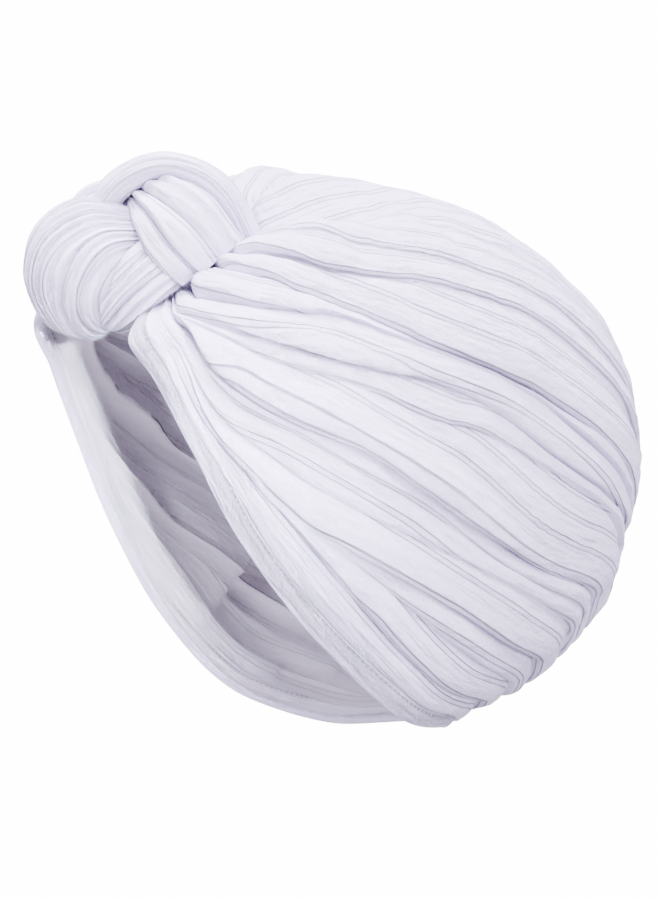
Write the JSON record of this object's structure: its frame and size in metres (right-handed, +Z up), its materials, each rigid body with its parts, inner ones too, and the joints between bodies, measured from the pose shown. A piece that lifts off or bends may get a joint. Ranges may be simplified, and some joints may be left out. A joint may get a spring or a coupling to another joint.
{
  "type": "turban hat",
  "caption": "Knotted turban hat of white ribbed jersey: two pleated half crowns that fan out from a wound knot over the forehead to a gathered seam at the nape.",
  "frame": {"origin": "the head seat: the place on the inside of the crown where the top of the wearer's head bears", "axes": "+Z up as worn, -Y the way the wearer faces, +X towards the wearer's left"},
  "size_m": [0.2023, 0.2737, 0.2451],
  "materials": {
    "crown_jersey_left": "matte ribbed jersey, white with a lavender tint",
    "crown_jersey_right": "matte ribbed jersey, white with a lavender tint",
    "knot_jersey_arch": "matte ribbed jersey, white with a lavender tint",
    "knot_jersey_fan": "matte ribbed jersey, white with a lavender tint",
    "knot_jersey_roll": "matte ribbed jersey, white with a lavender tint",
    "knot_jersey_over_band": "matte ribbed jersey, white with a lavender tint"
  },
  "bodies": {
    "root": {"crown_left": "crown_jersey_left", "crown_right": "crown_jersey_right", "knot_arch": "knot_jersey_arch", "knot_fan": "knot_jersey_fan", "knot_roll": "knot_jersey_roll", "knot_over_band": "knot_jersey_over_band"}
  },
  "joints": []
}
